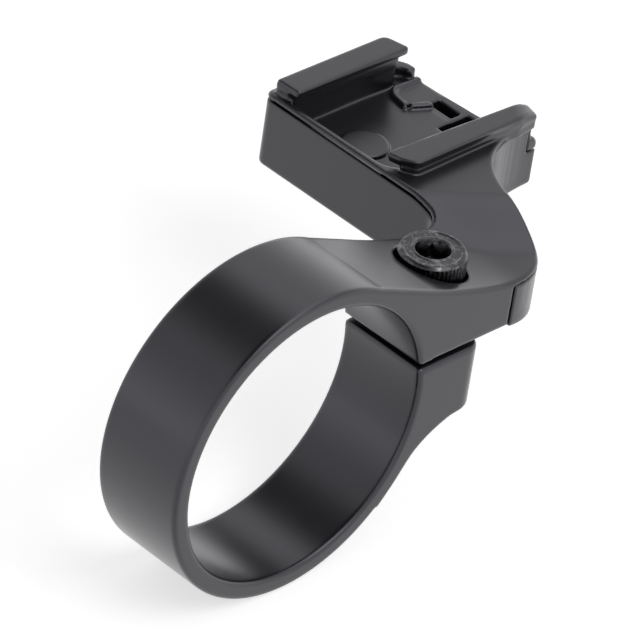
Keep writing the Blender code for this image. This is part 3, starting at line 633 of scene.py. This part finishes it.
def nut_field(b):
    """Hexagon nut with its corners turned off on both faces and a threaded bore."""
    rho = b.round_hole(BOLT_PLACE, 0.0)
    from_middle = np.abs(b.z - NUT_TOP + NUT_HEIGHT / 2)
    flats = b.hexagon(BOLT_PLACE, NUT_FLATS, math.pi / 2)
    body = meet(flats, slab(b.z, NUT_TOP - NUT_HEIGHT, NUT_TOP), FINE_EDGE)
    out, up = NUT_TURNED_SLOPE
    turned = (rho - NUT_TURNED_RADIUS) * out + (from_middle - NUT_HEIGHT / 2) * up
    bore = rho - SHANK_RADIUS - NUT_THREAD_PLAY + NUT_THREAD_DEPTH * zigzag(b.z / THREAD_PITCH)
    return carve(meet(body, turned, FINE_EDGE), bore, SHARP_EDGE)


def bar(b, place, half_x, half_y):
    """Distance to an endless upright bar of rectangular section."""
    x, y = place
    return np.maximum(slab(b.x, x - half_x, x + half_x), slab(b.y, y - half_y, y + half_y))


def screw_field(b, place):
    """Small pan-head screw with a cross recess, its head down."""
    rho = b.round_hole(place, 0.0)
    z = b.z - COVER_BOTTOM
    head = meet(rho - SCREW_HEAD_RADIUS, slab(z, SCREW_HEAD_START, SCREW_HEAD_HEIGHT), SOFT_EDGE)
    along_y = bar(b, place, CROSS_HALF_WIDTH, CROSS_HALF_LENGTH)
    along_x = bar(b, place, CROSS_HALF_LENGTH, CROSS_HALF_WIDTH)
    head = carve(head, np.maximum(np.minimum(along_y, along_x), z - CROSS_DEPTH), HAIR_EDGE)
    end = SCREW_HEAD_HEIGHT + SCREW_LENGTH
    point = (rho + (z - end) * SCREW_POINT_SLOPE - SCREW_POINT_RADIUS) * SCREW_POINT_COSINE
    groove = SCREW_THREAD_DEPTH * zigzag(z / SCREW_PITCH)
    side = np.maximum(rho - SCREW_SHANK + groove, -z + SCREW_SHANK_START)
    shank = meet(side, np.maximum(point, z - end), HAIR_EDGE)
    return np.minimum(head, shank)


def surface_points(field, inside):
    """One point in each cell that the surface passes through, and the points' numbers by cell."""
    cells = np.array(field.shape) - 1
    count = np.zeros(cells, np.int8)
    corners = [(i, j, k) for i in (0, 1) for j in (0, 1) for k in (0, 1)]
    for i, j, k in corners:
        count += inside[i:i + cells[0], j:j + cells[1], k:k + cells[2]]
    active = np.argwhere((count > 0) & (count < 8))
    number = np.full(cells, -1, np.int32)
    number[tuple(active.T)] = np.arange(len(active))
    total = np.zeros((len(active), 3))
    hits = np.zeros(len(active))
    for first in corners:
        for axis in range(3):
            if first[axis]:
                continue
            second = list(first)
            second[axis] = 1
            a = field[tuple((active + first).T)]
            b = field[tuple((active + second).T)]
            crossed = (a < 0) != (b < 0)
            t = np.where(crossed, a / np.where(crossed, a - b, 1), 0)
            point = np.tile(np.array(first, float), (len(active), 1))
            point[:, axis] = t
            total += point * crossed[:, None]
            hits += crossed
    return active + total / hits[:, None], number


def pull_to_surface(points, field, gradient):
    """Points moved along the field's slope until they lie on its zero surface."""
    for _ in range(PULLS):
        value = sample(field, points)
        slope = np.stack([sample(g, points) for g in gradient], 1)
        move = slope * (value / np.maximum((slope ** 2).sum(1), TINY))[:, None]
        points = points - np.clip(move, -LONGEST_PULL, LONGEST_PULL)
    return points


def surface_quads(inside, number):
    """A quad round each grid edge that the surface crosses, through the four cells' points."""
    shape = inside.shape
    quads = []
    for axis in range(3):
        ahead = [slice(None)] * 3
        behind = [slice(None)] * 3
        ahead[axis], behind[axis] = slice(1, None), slice(None, -1)
        a, b = inside[tuple(behind)], inside[tuple(ahead)]
        u, v = (axis + 1) % 3, (axis + 2) % 3
        for enters in (False, True):
            edges = np.argwhere((a != b) & (a == enters))
            within = (edges[:, u] > 0) & (edges[:, v] > 0)
            within &= (edges[:, u] < shape[u] - 1) & (edges[:, v] < shape[v] - 1)
            edges = edges[within]
            ring = []
            for du, dv in ((0, 0), (1, 0), (1, 1), (0, 1)):
                cell = edges.copy()
                cell[:, u] -= du
                cell[:, v] -= dv
                ring.append(number[tuple(cell.T)])
            quad = np.stack(ring, 1)
            quads.append(quad if enters else quad[:, ::-1])
    return np.concatenate(quads)


def skin(name, block, field, face_limit):
    """Mesh the zero surface of a field, with points pulled exactly on to it."""
    inside = field < 0
    gradient = np.gradient(field)
    points, number = surface_points(field, inside)
    points = pull_to_surface(points, field, gradient)
    quads = surface_quads(inside, number)
    mesh = bpy.data.meshes.new(name)
    mesh.from_pydata(((points * block.step + block.low) * MM).tolist(), [], quads.tolist())
    obj = bpy.data.objects.new(name, mesh)
    bpy.context.scene.collection.objects.link(obj)
    thin(obj, face_limit / (2 * len(quads)))
    placed = np.empty(len(obj.data.vertices) * 3)
    obj.data.vertices.foreach_get("co", placed)
    placed = (placed.reshape(-1, 3) / MM - block.low) / block.step
    normals = np.stack([sample(g, placed) for g in gradient], 1)
    normals /= np.maximum(np.linalg.norm(normals, axis=1), TINY)[:, None]
    obj.data.shade_smooth()
    obj.data.normals_split_custom_set_from_vertices(normals.tolist())
    return obj


def thin(obj, ratio):
    """Spend fewer triangles where the surface is flat."""
    if ratio >= 1:
        return
    modifier = obj.modifiers.new("thin", "DECIMATE")
    modifier.ratio = ratio
    evaluated = obj.evaluated_get(bpy.context.evaluated_depsgraph_get())
    mesh = bpy.data.meshes.new_from_object(evaluated)
    obj.modifiers.remove(modifier)
    obj.data = mesh


def sample(values, points):
    """Trilinear values of a grid at points given in grid steps."""
    limit = np.array(values.shape) - 2
    cell = np.clip(np.floor(points).astype(int), 0, limit)
    f = points - cell
    result = np.zeros(len(points))
    for i in (0, 1):
        for j in (0, 1):
            for k in (0, 1):
                weight = np.ones(len(points))
                for axis, side in enumerate((i, j, k)):
                    weight *= f[:, axis] if side else 1 - f[:, axis]
                result += weight * values[cell[:, 0] + i, cell[:, 1] + j, cell[:, 2] + k]
    return result


def add_node(tree, kind, inputs=None, links=None, **settings):
    """Add a node with its settings, fixed inputs and links from other nodes' outputs."""
    node = tree.nodes.new(kind)
    for key, value in settings.items():
        setattr(node, key, value)
    for key, value in (inputs or {}).items():
        node.inputs[key].default_value = value
    for key, source in (links or {}).items():
        tree.links.new(source, node.inputs[key])
    return node


def new_material(name):
    """A new material with its node tree and its shader."""
    material = bpy.data.materials.new(name)
    material.use_nodes = True
    return material, material.node_tree, material.node_tree.nodes["Principled BSDF"]


def moulded_nylon():
    """Glass-filled nylon moulded in an eroded tool.

    To the eye it is near black and satin, with a faint violet cast in what it mirrors. Its gloss
    wanders a little over patches of 6 mm, and a grain of 0.12 mm softens the highlights.
    """
    patch, grit = 6, 0.12
    material, tree, shader = new_material("moulded_glass_filled_nylon")
    shader.inputs["Base Color"].default_value = linear("#171619")
    shader.inputs["Specular Tint"].default_value = (0.925, 0.9, 1.0, 1.0)
    shader.inputs["IOR"].default_value = 1.5
    place = add_node(tree, "ShaderNodeTexCoord").outputs["Object"]
    grain = add_node(tree, "ShaderNodeTexNoise", {"Scale": 1000 / grit, "Detail": 2.0}, {"Vector": place})
    cloud = add_node(tree, "ShaderNodeTexNoise", {"Scale": 1000 / patch, "Detail": 3.0}, {"Vector": place})
    rough = add_node(tree, "ShaderNodeMapRange", {"To Min": 0.26, "To Max": 0.33},
                     {"Value": cloud.outputs["Fac"]})
    bump = add_node(tree, "ShaderNodeBump", {"Strength": 0.08, "Distance": 0.02 * MM},
                    {"Height": grain.outputs["Fac"]})
    tree.links.new(rough.outputs["Result"], shader.inputs["Roughness"])
    tree.links.new(bump.outputs["Normal"], shader.inputs["Normal"])
    return material


def black_oxide_steel():
    """Alloy steel blackened in a hot oxide bath.

    To the eye it is dark and oily, with specks of about 0.5 mm where the black is worn thin and
    the grey steel comes through, duller there than around them.
    """
    speck = 0.5
    material, tree, shader = new_material("black_oxide_steel")
    shader.inputs["Metallic"].default_value = 1.0
    place = add_node(tree, "ShaderNodeTexCoord").outputs["Object"]
    cloud = add_node(tree, "ShaderNodeTexNoise", {"Scale": 1000 / speck, "Detail": 5.0, "Roughness": 0.6},
                     {"Vector": place})
    worn = add_node(tree, "ShaderNodeMapRange", {"From Min": 0.5, "From Max": 0.72},
                    {"Value": cloud.outputs["Fac"]})
    colour = add_node(tree, "ShaderNodeMix", {"A": linear("#39393b"), "B": linear("#6f6f72")},
                      {"Factor": worn.outputs["Result"]}, data_type="RGBA")
    rough = add_node(tree, "ShaderNodeMapRange", {"To Min": 0.22, "To Max": 0.42},
                     {"Value": cloud.outputs["Fac"]})
    tree.links.new(colour.outputs["Result"], shader.inputs["Base Color"])
    tree.links.new(rough.outputs["Result"], shader.inputs["Roughness"])
    return material


def zinc_plated_steel():
    """Steel plated with bright zinc.

    To the eye it is a cool light grey, with its shine clouded in patches of about 1.2 mm.
    """
    patch = 1.2
    material, tree, shader = new_material("zinc_plated_steel")
    shader.inputs["Base Color"].default_value = linear("#b9bcc0")
    shader.inputs["Metallic"].default_value = 1.0
    place = add_node(tree, "ShaderNodeTexCoord").outputs["Object"]
    cloud = add_node(tree, "ShaderNodeTexNoise", {"Scale": 1000 / patch, "Detail": 3.0}, {"Vector": place})
    rough = add_node(tree, "ShaderNodeMapRange", {"To Min": 0.26, "To Max": 0.4},
                     {"Value": cloud.outputs["Fac"]})
    tree.links.new(rough.outputs["Result"], shader.inputs["Roughness"])
    return material


def white_floor():
    """White sweep: plain white to the camera, and bright in what the mount mirrors."""
    material, tree, shader = new_material("white_sweep")
    shader.inputs["Base Color"].default_value = linear("#f2f2f2")
    shader.inputs["Roughness"].default_value = 0.9
    paths = add_node(tree, "ShaderNodeLightPath")
    glossy = add_node(tree, "ShaderNodeMath", {1: FLOOR_MIRRORED}, {0: paths.outputs["Is Glossy Ray"]},
                      operation="MULTIPLY")
    glow = add_node(tree, "ShaderNodeMath", {1: FLOOR_GLOW},
                    {0: paths.outputs["Is Camera Ray"], 2: glossy.outputs[0]}, operation="MULTIPLY_ADD")
    shader.inputs["Emission Color"].default_value = (1, 1, 1, 1)
    tree.links.new(glow.outputs[0], shader.inputs["Emission Strength"])
    return material


def add_stage():
    """Pale floor under the band."""
    mesh = bpy.data.meshes.new("floor")
    height = -BAND_RADIUS * MM - FLOOR_GAP
    corners = [(x * FLOOR_REACH, y * FLOOR_REACH, height) for x, y in ((-1, -1), (1, -1), (1, 1), (-1, 1))]
    mesh.from_pydata(corners, [], [(0, 1, 2, 3)])
    floor = bpy.data.objects.new("floor", mesh)
    mesh.materials.append(white_floor())
    bpy.context.scene.collection.objects.link(floor)


def add_light(name, place, target, size, power):
    """Rectangular soft light that faces a target."""
    light = bpy.data.lights.new(name, "AREA")
    light.shape = "RECTANGLE"
    light.size, light.size_y = size
    light.energy = power
    obj = bpy.data.objects.new(name, light)
    obj.location = place
    obj.rotation_euler = (Vector(target) - Vector(place)).to_track_quat("-Z", "Y").to_euler()
    bpy.context.scene.collection.objects.link(obj)


def add_camera():
    """Camera at the photograph's viewing angle, about 0.6 m away."""
    data = bpy.data.cameras.new("camera")
    data.sensor_width = SENSOR_WIDTH
    data.lens = LENS
    data.clip_start = NEAREST_SEEN
    camera = bpy.data.objects.new("camera", data)
    turn = Matrix((CAMERA_RIGHT, CAMERA_UP, CAMERA_BACK)).transposed().to_4x4()
    camera.matrix_world = Matrix.Translation(CAMERA_PLACE) @ turn
    bpy.context.scene.collection.objects.link(camera)
    bpy.context.scene.camera = camera


def add_world():
    """White studio: plain white to the camera, a dim even fill, and shaped where it is mirrored.

    What is mirrored is bright low down and overhead and dimmer between them, and one side of
    the ceiling fades to dark.
    """
    world = bpy.data.worlds.new("studio")
    world.use_nodes = True
    tree = world.node_tree
    tree.nodes["Background"].inputs["Color"].default_value = (1, 1, 1, 1)
    paths = add_node(tree, "ShaderNodeLightPath")
    direction = add_node(tree, "ShaderNodeTexCoord").outputs["Generated"]
    height = add_node(tree, "ShaderNodeSeparateXYZ", links={0: direction}).outputs["Z"]
    toward_dark = add_node(tree, "ShaderNodeVectorMath", {1: CEILING_DARK_WAY}, {0: direction},
                           operation="DOT_PRODUCT").outputs["Value"]
    profile = add_node(tree, "ShaderNodeFloatCurve", links={"Value": height})
    points = profile.mapping.curves[0].points
    for place, value in WALLS_MIRRORED[1:-1]:
        points.new(place, value / BRIGHTEST_WALL)
    for point, (place, value) in zip(points, WALLS_MIRRORED):
        point.location = (place, value / BRIGHTEST_WALL)
        point.handle_type = "VECTOR"
    profile.mapping.update()
    level = add_node(tree, "ShaderNodeMath", {1: BRIGHTEST_WALL}, {0: profile.outputs["Value"]},
                     operation="MULTIPLY").outputs[0]
    overhead = add_node(tree, "ShaderNodeMapRange",
                        {"From Min": CEILING_EDGE[0], "From Max": CEILING_EDGE[1]},
                        {"Value": height}, interpolation_type="SMOOTHSTEP").outputs["Result"]
    start, end = CEILING_DARK_EDGE
    ceiling = add_node(tree, "ShaderNodeMapRange", {"From Min": start, "From Max": end, "To Max": 0.0},
                       {"Value": toward_dark, "To Min": level},
                       interpolation_type="SMOOTHSTEP").outputs["Result"]
    mirrored = add_node(tree, "ShaderNodeMapRange",
                        links={"Value": overhead, "To Min": level, "To Max": ceiling})
    dimmed = add_node(tree, "ShaderNodeMapRange", {"To Min": WORLD_FILL},
                      {"Value": paths.outputs["Is Glossy Ray"], "To Max": mirrored.outputs["Result"]})
    strength = add_node(tree, "ShaderNodeMath", operation="MAXIMUM",
                        links={0: paths.outputs["Is Camera Ray"], 1: dimmed.outputs["Result"]})
    tree.links.new(strength.outputs[0], tree.nodes["Background"].inputs["Strength"])
    bpy.context.scene.world = world


def around(place, reach, bottom, top):
    """Low and high corner of an upright sample box round an axis."""
    x, y = place
    return (x - reach, y - reach, bottom), (x + reach, y + reach, top)


def model(name, node, body, material, box, step, field, face_limit):
    """Skin one piece's field and let it stand for its CAD node."""
    block = Block(*box, step)
    piece = skin(name, block, field(block), face_limit)
    piece.data.materials.clear()
    piece.data.materials.append(material)
    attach(piece, body)
    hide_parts(node)


def main():
    """Set up the studio, then model each piece in the place of its CAD node."""
    add_camera()
    add_world()
    add_stage()
    add_light("key", KEY_PLACE, KEY_TARGET, KEY_SIZE, KEY_POWER)
    nylon, steel, zinc = moulded_nylon(), black_oxide_steel(), zinc_plated_steel()
    step = STEP
    fine = FINE_STEP
    model("bracket_moulding", "bracket", "mount", nylon,
          BRACKET_BOX, step, bracket_field, BRACKET_FACES)
    model("cover_moulding", "under_cover", "mount", nylon,
          COVER_BOX, step, cover_field, COVER_FACES)
    model("cap_screw", "clamp_bolt", "bolt", steel,
          around(BOLT_PLACE, *BOLT_BOX), fine, bolt_field, BOLT_FACES)
    model("hexagon_nut", "clamp_nut", "mount", zinc,
          around(BOLT_PLACE, *NUT_BOX), fine, nut_field, NUT_FACES)
    for index, place in enumerate(SCREW_PLACES, 1):
        model("pan_screw_%d" % index, "cover_screw_%d" % index, "mount", steel,
              around(place, *SCREW_BOX), fine, lambda b: screw_field(b, place), SCREW_FACES)
    bpy.context.scene.view_settings.view_transform = "Standard"


main()
